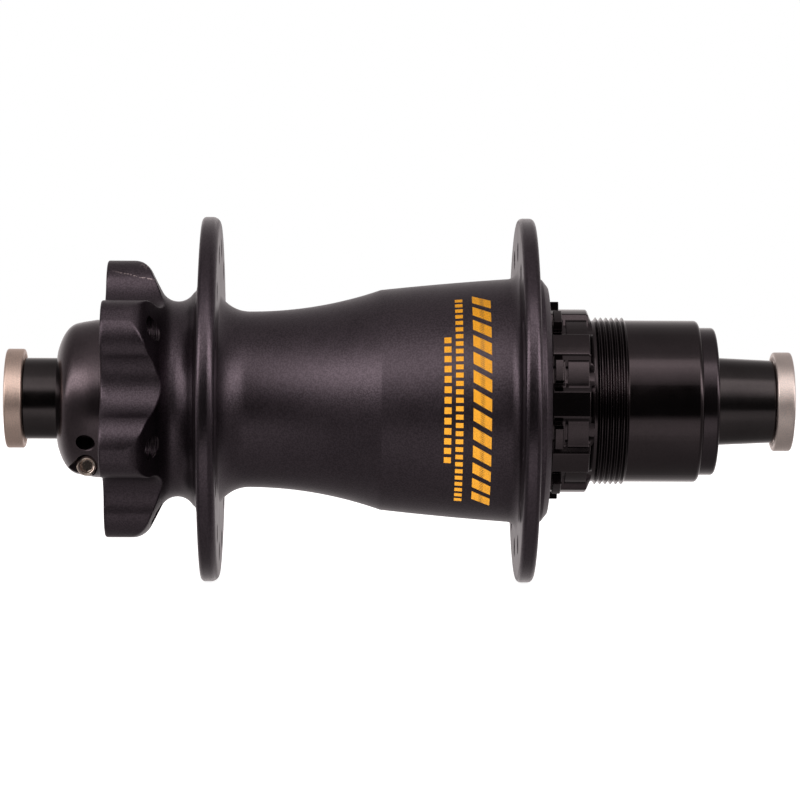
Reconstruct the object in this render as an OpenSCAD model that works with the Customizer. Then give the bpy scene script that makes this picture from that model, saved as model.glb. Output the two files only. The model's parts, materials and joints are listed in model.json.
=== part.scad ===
// Rear bicycle hub with a six-bolt disc mount, a toothed-ring clutch and a splined driver body.
// Millimetres. The axle lies along Y with the middle of the hub at the origin, and +Y is the disc side.

/* [Axle and end caps] */
// Length over the two end caps
hub_length = 148; // [147:0.5:149]
// Bore for the 12 mm thru-axle
bore_d = 12.1; // [12:0.05:12.3]
// Outer diameter of the end caps
cap_d = 18.7; // [18:0.1:20]
// Width of an end cap
cap_width = 3.4; // [3:0.1:4]
// Axle tube beside the disc-side cap
tube_d = 15.3; // [15.2:0.1:15.8]
// Axle where the bearings and the collar sit
seat_d = 17; // [17]

/* [Disc mount] */
// Station of the rotor face
rotor_face_y = 55.25; // [55:0.05:55.5]
// Bolt circle of the rotor
rotor_pcd = 44; // [44]
// Number of lobes, each with one bolt hole
lobes = 6; // [6]
// Diameter over the lobes
star_d = 52.4; // [51:0.2:54]
// Diameter at the bottom of the hollows between the lobes
star_waist_d = 38.8; // [38.4:0.2:39.6]
// Tapping diameter of the M5 rotor holes
rotor_hole_d = 4.2; // [4:0.1:4.4]

/* [Shell] */
// Diameter of the two spoke flanges
flange_d = 68.8; // [66:0.2:70]
// Outboard face of the disc-side flange
disc_flange_y = 37.2; // [37:0.1:37.4]
// Inboard face of the drive-side flange
drive_flange_y = -22.1; // [-22.2:0.05:-22]
// Thickness of the disc-side flange
disc_flange_t = 3.4; // [3.2:0.1:3.6]
// Thickness of the drive-side flange
drive_flange_t = 3.1; // [3:0.05:3.2]
// Spoke holes in each flange
spokes = 14; // [12, 14, 16]
// Circle of the spoke holes in the disc-side flange
disc_spoke_pcd = 57.5; // [57:0.1:58]
// Circle of the spoke holes in the drive-side flange
drive_spoke_pcd = 56.4; // [56:0.1:57]
// Spoke hole diameter
spoke_hole_d = 2.6; // [2.4:0.1:2.8]
// Narrowest diameter of the barrel
waist_d = 33.2; // [33:0.1:34]
// Diameter of the barrel at the drive-side flange
barrel_d = 45.9; // [45.6:0.1:46.2]

/* [Driver] */
// Splines on the driver
splines = 9; // [9]
// Diameter over the splines
spline_d = 34.64; // [34.4:0.02:34.8]
// Diameter over the cassette stops
stop_d = 37.5; // [37:0.1:38]
// Diameter over the cassette thread
thread_d = 31.6; // [31.4:0.1:31.8]
// Pitch of the cassette thread
thread_pitch = 1; // [1]
// Turns of the cassette thread
thread_turns = 6; // [5:6]
// Diameter of the smooth outer tube
nose_d = 30.54; // [30.3:0.02:30.7]
// Diameter of the ring at the end of the driver
end_ring_d = 27.88; // [27.4:0.02:28.4]

/* [Clutch rings] */
// Teeth on each ring
teeth = 36; // [36]
// Height of a tooth
tooth_h = 1.2; // [1:0.1:1.2]
// Gap between the two rings while coasting
ring_gap = 0.15; // [0.1:0.05:0.3]
// Turns of the clutch spring
spring_turns = 4; // [3:0.5:4]

/* [Preload collar] */
// Outer diameter of the collar
collar_d = 29.8; // [29.4:0.1:30]
// Tool hole in the side of the collar
tool_hole_d = 2.95; // [2.5:0.05:3]
// Head of the clamp screw
screw_head_d = 3.8; // [3.6:0.1:4]
// Width of the clamp slit
slit_w = 0.8; // [0.6:0.1:1]

/* [Hidden] */
$fn = 96;
half = hub_length / 2;
bore_r = bore_d / 2;
seat_r = seat_d / 2;
stub_r = 7.3;
oring_r = 0.235;
tip = 0.01;
// A body of revolution may pass 0.05 mm from the one that it turns in.
run = 0.05;
// Balls and rollers run this far from their tracks.
roll = 0.1;

// Stations along the axle, from the disc side to the drive side.
collar_station = 58.6;
disc_bearing_y = 43.6;
disc_bearing_w = 7.6;
shell_bearing_y = -26.6;
shell_bearing_w = 7;
boss_end_y = -27.8;
driver_start_y = -28.1;
spline_end_y = -35.95;
thread_y = -36.5;
nose_y = -42.3;
nose_end_y = -56.3;
driver_bearing_y = -54.8;
driver_bearing_w = 5;
needle_y = -26;
needle_w = 12;
driven_face_y = -8.15;
clutch_seat_y = -3;
retainer_y = -19.6;
retainer_t = 0.8;
ring_back_y = -12.9;
driver_inner_end_y = -3.6;

// Radii inside the hub.
disc_bore_r = 15.2;
mouth_r = 15.5;
shell_bore_r = 20;
clutch_bore_r = 18.6;
barrel_bore_r = 13.4;
shaft_r = 14.3;
spline_root_r = 12.9;
spline_crest_r = 13.9;
ring_splines = 12;
ring_outer_r = 17.6;
ring_tooth_r = 15;
tooth_w = 2.3;
tooth_shift = 0.35 * tooth_w * 0.55;

// Angles about the axle, from the rear of the hub (-X) upwards.
lobe_at = -24;
disc_spoke_at = 94.5;
drive_spoke_at = 81.6;
stop_at = 17.6;
tool_hole_at = -34.5;

// Turns local z onto the axle, so a profile is drawn as [radius, station].
module along_axle() rotate([-90, 0, 0]) children();
module turned(points) along_axle() rotate_extrude() polygon(points);
module ring(r_in, r_out, y, w) turned([[r_in, y], [r_out, y], [r_out, y + w], [r_in, y + w]]);
// Puts a child, drawn along local x, at an angle about the axle.
module at(phi) rotate([0, 0, 180 + phi]) children();

function arc(c_r, c_y, r, a0, a1, n = 8) =
    [for (i = [0:n]) let (a = a0 + (a1 - a0) * i / n) [c_r + r * cos(a), c_y + r * sin(a)]];
function bend(p, q, s, n = 8) =
    [for (i = [0:n]) let (t = i / n) (1 - t) * (1 - t) * p + 2 * t * (1 - t) * q + t * t * s];
function bulge(p, q, h, n = 6) =
    [for (i = [0:n]) let (t = i / n) (1 - t) * p + t * q + [4 * h * t * (1 - t), 0]];

// ---- axle, end caps and collar ----

module axle() color("#1d1c1e") difference() {
    turned([
        [bore_r, half - 1], [stub_r, half - 1], [stub_r, half - cap_width], [tube_d / 2, half - cap_width],
        [tube_d / 2, 63], [seat_r, 62.2], [seat_r, 40], [8, 39], [8, -10.5], [seat_r, -11.5],
        [seat_r, driver_bearing_y - run], [9.8, driver_bearing_y - run], [9.8, -57.3], [8.35, -58.4],
        [7.78, cap_width - half], [stub_r, cap_width - half], [stub_r, 1 - half], [bore_r, 1 - half]]);
    for (y = [half - 2.1, 2.1 - half])
        ring(stub_r - 2 * oring_r + 0.02, stub_r + 1, y - 0.3, 0.6);
}

module cap() color("#c9bbb0") turned(concat(
    [[bore_r, half], [cap_d / 2 - 0.4, half]],
    arc(cap_d / 2 - 0.4, half - 0.4, 0.4, 90, 0, 4),
    arc(cap_d / 2 - 0.4, half - cap_width + 0.4, 0.4, 0, -90, 4),
    [[8.5, half - cap_width], [8.1, half - cap_width + 0.6], [stub_r + 0.02, half - cap_width + 0.6],
     [stub_r + 0.02, half - 0.98], [bore_r, half - 0.98]]));
module disc_end_cap() cap();
module drive_end_cap() color("#c9bbb0") mirror([0, 1, 0]) cap();

module end_cap_orings() color("#222222") for (y = [half - 2.1, 2.1 - half])
    along_axle() rotate_extrude() translate([stub_r + 0.02 - oring_r, y]) circle(r = oring_r, $fn = 24);

module preload_collar() color("#262427") difference() {
    turned(concat(
        [[seat_r + run, 51.3], [10.1, 51.3], [10.1, 54.6], [13, 54.6], [13, 52.8],
         [collar_d / 2 - 0.2, 52.8], [collar_d / 2, 53], [collar_d / 2, 57], [collar_d / 2 - 0.4, 59.5]],
        bend([collar_d / 2 - 0.58, 60.3], [collar_d / 2 - 0.9, 62.9], [9.5, 64.2]),
        [[9.3, 64.2], [9.2, 63.4], [seat_r + run, 62.6]]));
    along_axle() {
        // The slit is at the bottom, and the clamp screw crosses it.
        translate([-slit_w / 2, 7.5, 51]) cube([slit_w, 9, 15]);
        translate([0, 12.6, collar_station]) {
            rotate([0, 90, 0]) translate([0, 0, -4]) cylinder(r = 1.3, h = 10.4, $fn = 32);
            translate([-3.4, 0, 0]) rotate([0, -90, 0]) cylinder(r = screw_head_d / 2 + 0.25, h = 9, $fn = 40);
            rotate([-52, 0, 0]) translate([-12, -2, 0]) cube([8.6, 4, 7]);
        }
        at(tool_hole_at) translate([10.6, 0, collar_station]) rotate([0, 90, 0])
            cylinder(d = tool_hole_d, h = 6, $fn = 40);
    }
}

module clamp_screw() color("#d8d2cc") along_axle() translate([0, 12.6, collar_station])
    rotate([0, 90, 0]) difference() {
        union() {
            translate([0, 0, -3.5]) cylinder(r = 1.25, h = 9.4, $fn = 32);
            translate([0, 0, -5.7]) cylinder(d = screw_head_d, h = 2.3, $fn = 40);
            translate([0, 0, -5.95]) cylinder(d1 = screw_head_d - 0.5, d2 = screw_head_d, h = 0.25, $fn = 40);
        }
        translate([0, 0, -6.5]) cylinder(d = 2.31, h = 2.1, $fn = 6);
    }

// ---- bearings ----

// A race is a ring with the ball track cut into it.
module race(r_in, r_out, y, w, pitch_r, ball_r) along_axle() rotate_extrude() difference() {
    translate([r_in, y]) square([r_out - r_in, w]);
    translate([pitch_r, y + w / 2]) circle(r = ball_r + roll, $fn = 40);
}
module balls(n, pitch_r, ball_r, y) along_axle()
    for (i = [0:n - 1]) rotate([0, 0, 360 * i / n]) translate([pitch_r, 0, y]) sphere(r = ball_r, $fn = 24);
module ball_cage(n, pitch_r, ball_r, y, t, w) difference() {
    ring(pitch_r - t / 2, pitch_r + t / 2, y - w / 2, w);
    along_axle() for (i = [0:n - 1]) rotate([0, 0, 360 * i / n]) translate([pitch_r - 2, 0, y])
        rotate([0, 90, 0]) cylinder(r = ball_r + roll, h = 4, $fn = 24);
}
// An open circlip, with its gap at the bottom.
module circlip(r_in, r_out, y, w) difference() {
    ring(r_in, r_out, y, w);
    along_axle() translate([-1.2, r_in - 2, y - 1]) cube([2.4, r_out - r_in + 4, w + 2]);
}

disc_pitch_r = 11.85;
disc_ball_r = 1.9;
disc_mid_y = disc_bearing_y + disc_bearing_w / 2;
module disc_bearing_inner_race() color("#b9bbbe")
    race(seat_r, 10.3, disc_bearing_y, disc_bearing_w, disc_pitch_r, disc_ball_r);
module disc_bearing_outer_race() color("#b9bbbe") difference() {
    race(13.3, disc_bore_r, disc_bearing_y, disc_bearing_w, disc_pitch_r, disc_ball_r);
    ring(13, 13.7, disc_bearing_y + disc_bearing_w - 0.5, 0.35);
}
module disc_bearing_balls() color("#dcdde0") balls(13, disc_pitch_r, disc_ball_r, disc_mid_y);
module disc_bearing_cage() color("#a58a4a") ball_cage(13, disc_pitch_r, disc_ball_r, disc_mid_y, 1, 4.8);
module disc_bearing_seals() color("#7c2b25")
    for (y = [disc_bearing_y + 0.4, disc_bearing_y + disc_bearing_w - 1.1]) ring(10.6, 13.3, y, 0.6);
module disc_snap_ring() color("#8d8f93") circlip(12.6, 13.7, disc_bearing_y + disc_bearing_w - 0.5, 0.35);

shell_pitch_r = 17.1;
shell_ball_r = 1.5;
shell_mid_y = shell_bearing_y + shell_bearing_w / 2;
module shell_bearing_outer_race() color("#b9bbbe") difference() {
    race(18.2, shell_bore_r, shell_bearing_y, shell_bearing_w, shell_pitch_r, shell_ball_r);
    ring(18, 18.6, shell_bearing_y + 0.15, 0.35);
}
module shell_bearing_inner_race() color("#b9bbbe")
    race(shaft_r, 16, shell_bearing_y, shell_bearing_w, shell_pitch_r, shell_ball_r);
module shell_bearing_balls() color("#dcdde0") balls(20, shell_pitch_r, shell_ball_r, shell_mid_y);
module shell_bearing_cage() color("#a58a4a") ball_cage(20, shell_pitch_r, shell_ball_r, shell_mid_y, 0.9, 4.2);
module shell_bearing_seals() color("#7c2b25")
    for (y = [shell_bearing_y + 0.5, shell_bearing_y + shell_bearing_w - 1]) ring(16.3, 18.2, y, 0.6);
module shell_snap_ring() color("#8d8f93") circlip(17.6, 18.6, shell_bearing_y + 0.15, 0.35);
module dust_ring() color("#2b2a2c") turned([
    [15.6, -27.6], [19.2, -27.6], [19.4, -27.4], [19.4, -27], [15.6, -27]]);

driver_pitch_r = 10.8;
driver_ball_r = 1.3;
driver_mid_y = driver_bearing_y + driver_bearing_w / 2;
module driver_bearing_inner_race() color("#b9bbbe")
    race(seat_r, 9.8, driver_bearing_y, driver_bearing_w, driver_pitch_r, driver_ball_r);
module driver_bearing_outer_race() color("#b9bbbe")
    race(11.8, 13, driver_bearing_y, driver_bearing_w, driver_pitch_r, driver_ball_r);
module driver_bearing_balls() color("#dcdde0") balls(15, driver_pitch_r, driver_ball_r, driver_mid_y);
module driver_bearing_cage() color("#a58a4a") ball_cage(15, driver_pitch_r, driver_ball_r, driver_mid_y, 0.7, 3.4);
module driver_bearing_seals() color("#7c2b25")
    for (y = [driver_bearing_y + 0.15, driver_bearing_y + driver_bearing_w - 0.65]) ring(10.1, 11.8, y, 0.5);

needles = 18;
needle_r = 0.9;
needle_pitch_r = seat_r + roll + needle_r;
cup_in_r = needle_pitch_r + needle_r + roll;
cup_r = 11.4;
module needle_cup() color("#b9bbbe") turned([
    [9.9, needle_y], [cup_r, needle_y], [cup_r, needle_y + needle_w], [9.9, needle_y + needle_w],
    [9.9, needle_y + needle_w - 0.5], [cup_in_r, needle_y + needle_w - 0.5], [cup_in_r, needle_y + 0.5],
    [9.9, needle_y + 0.5]]);
module needle_places(inset) along_axle() for (i = [0:needles - 1]) rotate([0, 0, 360 * i / needles])
    translate([needle_pitch_r, 0, needle_y + inset]) children();
module needle_rollers() color("#dcdde0")
    needle_places(1.3) cylinder(r = needle_r, h = needle_w - 2.6, $fn = 24);
module needle_cage() color("#a58a4a") difference() {
    ring(needle_pitch_r - 0.3, needle_pitch_r + 0.3, needle_y + 0.8, needle_w - 1.6);
    needle_places(1.2) cylinder(r = needle_r + 0.08, h = needle_w - 2.4, $fn = 24);
}

// ---- hub shell ----

neck_y = 41.8;
neck_r = 18.43;
neck_arc = 3.4;
waist_y = 28.3;
flare_arc = 75;
edge_y = 3.6;
edge_round = 0.9;
corner_arc = 4;
flare_end = asin((waist_y - edge_y) / flare_arc);
edge_r = waist_d / 2 + flare_arc * (1 - cos(flare_end));
fillet_arc = 6.6;
fillet_end = asin((disc_flange_y - disc_flange_t - waist_y) / fillet_arc);
rim = flange_d / 2 - edge_round;
barrel_r = barrel_d / 2;
// The star's lobes are round, and a round hollow runs on from each lobe to the next.
lobe_r = 6.5;
lobe_c = star_d / 2 + 0.1 - lobe_r;
hollow_r = 7.4;
hollow_c = star_waist_d / 2 + hollow_r;
star_core_r = 22.4;

function shell_outline() = concat(
    [[mouth_r, rotor_face_y], [star_d / 2 - 0.5, rotor_face_y], [star_d / 2, rotor_face_y - 0.5]],
    arc(star_d / 2 - corner_arc, 50.3, corner_arc, 0, -62, 10),
    arc(neck_r + neck_arc, neck_y, neck_arc, 118, 236, 14),
    [[20.6, disc_flange_y + 1.1], [26.4, disc_flange_y]],
    arc(rim, disc_flange_y - edge_round, edge_round, 90, 0, 5),
    arc(rim, disc_flange_y - disc_flange_t + edge_round, edge_round, 0, -90, 5),
    arc(waist_d / 2 + fillet_arc, waist_y, fillet_arc, 180 - fillet_end, 180, 10),
    arc(waist_d / 2 + flare_arc, waist_y, flare_arc, 180.8, 180 + flare_end, 20),
    bulge([edge_r + 0.02, edge_y - 0.15], [barrel_r, drive_flange_y + 1.9], 0.12),
    arc(barrel_r + 1.9, drive_flange_y + 1.9, 1.9, 190, 270, 6),
    arc(rim, drive_flange_y - edge_round, edge_round, 90, 0, 5),
    arc(rim, drive_flange_y - drive_flange_t + edge_round, edge_round, 0, -90, 5),
    arc(23.7, drive_flange_y - drive_flange_t - 0.8, 0.8, 90, 180, 4),
    arc(21.4, boss_end_y + 1.5, 1.5, 0, -90, 6),
    [[shell_bore_r + 0.3, boss_end_y], [shell_bore_r, boss_end_y + 0.3],
     [shell_bore_r, retainer_y], [clutch_bore_r, retainer_y], [clutch_bore_r, clutch_seat_y],
     [barrel_bore_r + 0.6, clutch_seat_y], [barrel_bore_r, clutch_seat_y + 4],
     [barrel_bore_r, disc_bearing_y], [disc_bore_r, disc_bearing_y], [disc_bore_r, 52],
     [mouth_r, 52.3]]);

// A plain hole through a flange with a small countersink on each face.
module spoke_hole(pcd, face_y, t) translate([pcd / 2, 0, face_y - t - 1]) {
    cylinder(d = spoke_hole_d, h = t + 2, $fn = 32);
    translate([0, 0, 0.9]) cylinder(d1 = spoke_hole_d + 1.1, d2 = spoke_hole_d, h = 0.55, $fn = 32);
    translate([0, 0, t + 0.55]) cylinder(d1 = spoke_hole_d, d2 = spoke_hole_d + 1.1, h = 0.55, $fn = 32);
}

module star_outline() difference() {
    union() {
        circle(r = star_core_r, $fn = 120);
        for (i = [0:lobes - 1]) at(lobe_at + 360 * i / lobes) translate([lobe_c, 0]) circle(r = lobe_r, $fn = 96);
    }
    for (i = [0:lobes - 1]) at(lobe_at + 180 / lobes + 360 * i / lobes)
        translate([hollow_c, 0]) circle(r = hollow_r, $fn = 96);
}

module hub_shell() color("#5a5254") difference() {
    turned(shell_outline());
    along_axle() {
        difference() {
            translate([0, 0, neck_y + 0.5]) cylinder(d = star_d + 8, h = rotor_face_y - neck_y, $fn = 96);
            translate([0, 0, neck_y]) linear_extrude(height = rotor_face_y - neck_y + 2) star_outline();
        }
        for (i = [0:lobes - 1]) at(lobe_at + 360 * i / lobes) translate([rotor_pcd / 2, 0, 0]) {
            translate([0, 0, neck_y + 1]) cylinder(d = rotor_hole_d, h = 15, $fn = 32);
            translate([0, 0, rotor_face_y - 0.5])
                cylinder(d1 = rotor_hole_d, d2 = rotor_hole_d + 1.1, h = 0.55, $fn = 32);
        }
        for (i = [0:spokes - 1]) {
            at(disc_spoke_at + 360 * i / spokes)
                spoke_hole(disc_spoke_pcd, disc_flange_y, disc_flange_t);
            at(drive_spoke_at + 360 * i / spokes)
                spoke_hole(drive_spoke_pcd, drive_flange_y, drive_flange_t);
        }
    }
}

// ---- clutch ----

// Saw-tooth gaps around a face: dir is +1 where they are cut towards the disc side.
module tooth_gaps(face_y, dir, shift) for (i = [0:teeth - 1])
    rotate([0, 0, 360 * i / teeth]) translate([ring_tooth_r - 1, shift, face_y])
        rotate([90, 0, 90]) linear_extrude(height = 6) polygon([
            [-tooth_w / 2, -dir * tip], [tooth_w / 2, -dir * tip],
            [dir * 0.35 * tooth_w, dir * tooth_h]]);

module driven_ring() color("#a9abb0") difference() {
    turned([[14.9, driven_face_y], [17.7, driven_face_y], [17.7, -6.6], [clutch_bore_r, -6.6],
        [clutch_bore_r, clutch_seat_y], [14.9, clutch_seat_y]]);
    along_axle() tooth_gaps(driven_face_y, 1, 0);
}

module ring_keys(r, extra) intersection() {
    cylinder(r = r, h = 20);
    for (i = [0:ring_splines - 1]) rotate([0, 0, 360 * i / ring_splines])
        translate([spline_root_r - 1, -1.2 - extra, 0]) cube([4, 2.4 + 2 * extra, 20]);
}

ring_face_y = driven_face_y - ring_gap;
module drive_ring() color("#a9abb0") difference() {
    turned([
        [spline_root_r + 0.15, ring_back_y], [ring_outer_r, ring_back_y], [ring_outer_r, ring_face_y],
        [ring_tooth_r - 0.1, ring_face_y], [ring_tooth_r - 0.1, ring_face_y - tooth_h - 0.1],
        [spline_root_r + 0.15, ring_face_y - tooth_h - 0.1]]);
    along_axle() translate([0, 0, ring_back_y - 5]) ring_keys(spline_crest_r + 0.15, 0.15);
    along_axle() rotate([0, 0, 180 / teeth]) tooth_gaps(ring_face_y, -1, tooth_shift);
}

module spring_retainer() color("#8d8f93") turned([
    [spline_crest_r + 0.05, retainer_y], [17.4, retainer_y], [17.4, retainer_y + retainer_t],
    [spline_crest_r + 0.05, retainer_y + retainer_t]]);

spring_r = 15.9;
wire_r = 0.45;
spring_steps = 24;
spring_sides = 8;
spring_low = retainer_y + retainer_t + wire_r + run;
spring_high = ring_back_y - wire_r - run;
function spring_ring(t) = let (
    a = 360 * t,
    rise = max(0, min(1, (t - 0.75) / (spring_turns - 1.5))),
    y = spring_low + (spring_high - spring_low) * rise)
    [for (k = [0:spring_sides - 1]) let (b = 360 * k / spring_sides)
        [(spring_r + wire_r * cos(b)) * cos(a), (spring_r + wire_r * cos(b)) * sin(a), y + wire_r * sin(b)]];
module clutch_spring() color("#9a9da2") {
    n = spring_steps * spring_turns;
    m = spring_sides;
    along_axle() polyhedron(
        points = [for (i = [0:n]) each spring_ring(i / spring_steps)],
        faces = concat(
            [[for (k = [0:m - 1]) k]],
            [[for (k = [0:m - 1]) n * m + m - 1 - k]],
            [for (i = [0:n - 1], k = [0:m - 1])
                [i * m + k, (i + 1) * m + k, (i + 1) * m + (k + 1) % m, i * m + (k + 1) % m]]));
}

// ---- driver ----

spline_root = 16.4;
relief_r = 15.2;
function thread_outline() = [for (i = [0:thread_turns - 1]) let (y = thread_y - i * thread_pitch)
    each [[relief_r + 0.05, y], [thread_d / 2, y - 0.4 * thread_pitch],
          [thread_d / 2, y - 0.52 * thread_pitch], [relief_r + 0.05, y - 0.92 * thread_pitch]]];

module driver_splines() along_axle() intersection() {
    for (i = [0:splines - 1]) at(stop_at + 180 / splines + 360 * i / splines)
        translate([0, 0, spline_end_y]) linear_extrude(height = driver_start_y - spline_end_y)
        polygon([[15, -2.93], [spline_root, -2.93], [spline_d / 2 + 0.4, -1.95],
                 [spline_d / 2 + 0.4, 1.95], [spline_root, 2.93], [15, 2.93]]);
    rotate_extrude() polygon([
        [14.5, spline_end_y], [15.4, spline_end_y], [spline_d / 2 - 0.2, spline_end_y + 0.75],
        [spline_d / 2, spline_end_y + 1], [spline_d / 2, driver_start_y], [14.5, driver_start_y]]);
}

module driver_stops() along_axle() intersection() {
    for (i = [0:splines - 1]) at(stop_at + 360 * i / splines)
        translate([15, -2.1, -30.05]) cube([6, 4.2, 1.6]);
    translate([0, 0, -31]) cylinder(d = stop_d, h = 4);
}

module driver_body() color("#332f32") difference() {
    union() {
        turned(concat(
            [[13, -27], [15.6, -27], [15.6, driver_start_y - 0.4],
             [spline_root, driver_start_y - 0.4], [spline_root, -30.45], [15.6, -30.45], [15.6, -30.95],
             [spline_root, -30.95], [spline_root, -34.85], [relief_r, -34.85], [relief_r, -36.2]],
            thread_outline(),
            [[relief_r + 0.05, nose_y + 0.1], [nose_d / 2, nose_y]],
            arc(nose_d / 2 - 0.8, nose_end_y + 0.8, 0.8, 0, -90, 5),
            [[13, nose_end_y], [13, driver_bearing_y + driver_bearing_w],
             [11.8, driver_bearing_y + driver_bearing_w], [11.8, -27]]));
        turned([
            [11, -27.4], [15.6, -27.4], [15.6, shell_bearing_y - run], [shaft_r, shell_bearing_y - run],
            [shaft_r, retainer_y], [spline_root_r, retainer_y], [spline_root_r, driver_inner_end_y],
            [11, driver_inner_end_y]]);
        along_axle() translate([0, 0, retainer_y]) intersection() {
            ring_keys(spline_crest_r, 0);
            cylinder(r = 20, h = driver_inner_end_y - retainer_y - 0.5);
        }
        driver_splines();
        driver_stops();
    }
    along_axle() {
        translate([0, 0, -28]) cylinder(r = cup_r, h = 28 + needle_y + needle_w);
        translate([0, 0, -28]) cylinder(r = 10.9, h = 30);
    }
}

module driver_end_ring() color("#3a383b") turned(concat(
    [[10.3, driver_bearing_y - 0.1], [13, driver_bearing_y - 0.1], [13, nose_end_y],
     [end_ring_d / 2, nose_end_y]],
    arc(end_ring_d / 2 - 0.6, -58.8, 0.6, 0, -90, 4),
    [[10.6, -59.4], [10.3, -59.1]]));

axle();
disc_end_cap();
drive_end_cap();
end_cap_orings();
preload_collar();
clamp_screw();
disc_bearing_inner_race();
disc_bearing_outer_race();
disc_bearing_balls();
disc_bearing_cage();
disc_bearing_seals();
disc_snap_ring();
hub_shell();
driven_ring();
drive_ring();
clutch_spring();
spring_retainer();
shell_bearing_outer_race();
shell_bearing_inner_race();
shell_bearing_balls();
shell_bearing_cage();
shell_bearing_seals();
shell_snap_ring();
dust_ring();
driver_body();
needle_cup();
needle_rollers();
needle_cage();
driver_bearing_inner_race();
driver_bearing_outer_race();
driver_bearing_balls();
driver_bearing_cage();
driver_bearing_seals();
driver_end_ring();
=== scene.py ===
import json
import math

import bpy
import numpy as np
from mathutils import Matrix, Vector


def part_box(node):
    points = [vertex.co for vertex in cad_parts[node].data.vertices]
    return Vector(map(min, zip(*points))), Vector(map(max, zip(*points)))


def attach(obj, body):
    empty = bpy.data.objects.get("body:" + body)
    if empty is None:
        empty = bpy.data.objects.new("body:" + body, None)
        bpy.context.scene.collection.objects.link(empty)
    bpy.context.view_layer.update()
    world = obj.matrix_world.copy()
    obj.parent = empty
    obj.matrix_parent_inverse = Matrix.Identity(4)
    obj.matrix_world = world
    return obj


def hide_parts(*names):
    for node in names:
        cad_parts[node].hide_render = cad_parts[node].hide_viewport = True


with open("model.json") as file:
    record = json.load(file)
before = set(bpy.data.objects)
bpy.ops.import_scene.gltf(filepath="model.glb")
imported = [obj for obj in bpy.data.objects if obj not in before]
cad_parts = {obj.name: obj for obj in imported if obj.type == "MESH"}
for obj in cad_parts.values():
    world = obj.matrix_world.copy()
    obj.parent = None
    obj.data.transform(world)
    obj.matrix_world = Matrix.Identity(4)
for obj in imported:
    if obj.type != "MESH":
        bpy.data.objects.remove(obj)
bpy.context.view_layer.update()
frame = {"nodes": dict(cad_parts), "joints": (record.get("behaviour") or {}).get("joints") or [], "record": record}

# Profiles are drawn in millimetres as (radius, station): the station runs along the axle, +Y to the
# disc side. Angles are in degrees about the axle, from the rear of the hub (-X) upwards.
MM = 0.001


def top_of(node):
    """Highest corner of a CAD node's box, in millimetres."""
    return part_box(node)[1] / MM


def mount(name):
    return next(m for m in frame["record"]["mounts"] if m["name"] == name)


def joint_place(name):
    """A point on a joint's axis, in millimetres."""
    joint = next(j for j in frame["joints"] if j["name"] == name)
    return Vector(joint["pos_m"]) / MM


# ---- sizes, from the frame where it has them ----

HALF = top_of("disc_end_cap").y
CAP_R = top_of("disc_end_cap").z
CAP_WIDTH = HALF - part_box("disc_end_cap")[0].y / MM
BORE_R = mount("thru_axle_bore")["dims"]["r_mm"]
FLANGE_R = top_of("hub_shell").z
ROTOR_FACE_Y = top_of("hub_shell").y
BOSS_END_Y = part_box("hub_shell")[0].y / MM
COLLAR_R = top_of("preload_collar").z
NOSE_R = mount("cassette_pilot")["dims"]["r_mm"]
NOSE_END_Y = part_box("driver_body")[0].y / MM
DRIVER_INNER_Y = top_of("driver_body").y
END_RING_R = top_of("driver_end_ring").z
END_RING_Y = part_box("driver_end_ring")[0].y / MM
SCREW_Y = joint_place("clamp_screw_turn").y
SCREW_Z = joint_place("clamp_screw_turn").z

SEAT_R = 8.5
RUN = 0.05
STUB_R = 7.3

LOBES = 6
LOBE_AT = -24
STAR_R = 26.2
STAR_WAIST_R = 19.4
STAR_CORE_R = 22.4
LOBE_ARC = 6.5
HOLLOW_ARC = 7.4
ROTOR_HOLE_R = 2.1
NECK_Y = 41.8
NECK_R = 18.43
NECK_ARC = 3.4

SPOKES = 14
SPOKE_R = 1.3
DISC_SPOKE_AT = 94.5
DRIVE_SPOKE_AT = 81.6
DISC_FLANGE_Y = 37.2
DISC_FLANGE_T = 3.4
DRIVE_FLANGE_Y = -22.1
DRIVE_FLANGE_T = 3.1
EDGE_ROUND = 0.9
DISC_OUT_ROUND = 0.75
DISC_IN_ROUND = 1.5
WAIST_R = 16.6
WAIST_Y = 28.3
FLARE_ARC = 75
FILLET_ARC = 6.6
EDGE_Y = 3.6
BARREL_R = 22.95

SPLINES = 9
SPLINE_R = 17.32
SPLINE_ROOT = 16.4
STOP_AT = 17.6
STOP_R = 18.75


# ---- mesh tools ----

def arc(c_r, c_y, r, a0, a1, n):
    angles = np.radians(np.linspace(a0, a1, n + 1))
    return [(c_r + r * math.cos(a), c_y + r * math.sin(a)) for a in angles]


def bezier(p, q, s, n):
    p, q, s = (np.array(v, float) for v in (p, q, s))
    return [tuple((1 - t) ** 2 * p + 2 * t * (1 - t) * q + t * t * s) for t in np.linspace(0, 1, n + 1)]


def soften(points, radius, closed=False, least_turn=14, n=3):
    """Rounds each corner of a profile that turns by more than least_turn degrees."""
    points = [np.array(p, float) for p in points]
    made = []
    for i, p in enumerate(points):
        at_end = not closed and i in (0, len(points) - 1)
        before, after = points[i - 1], points[(i + 1) % len(points)]
        into, out = p - before, after - p
        room = min(np.linalg.norm(into), np.linalg.norm(out))
        if at_end or room < 1e-6:
            made.append(tuple(p))
            continue
        into, out = into / np.linalg.norm(into), out / np.linalg.norm(out)
        turn = math.degrees(math.acos(max(-1, min(1, float(into @ out)))))
        if turn <= least_turn:
            made.append(tuple(p))
            continue
        reach = min(radius * math.tan(math.radians(turn / 2)), 0.45 * room)
        made += bezier(p - into * reach, p, p + out * reach, n)
    return made


def linked(name, mesh):
    obj = bpy.data.objects.new(name, mesh)
    bpy.context.scene.collection.objects.link(obj)
    return obj


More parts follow.
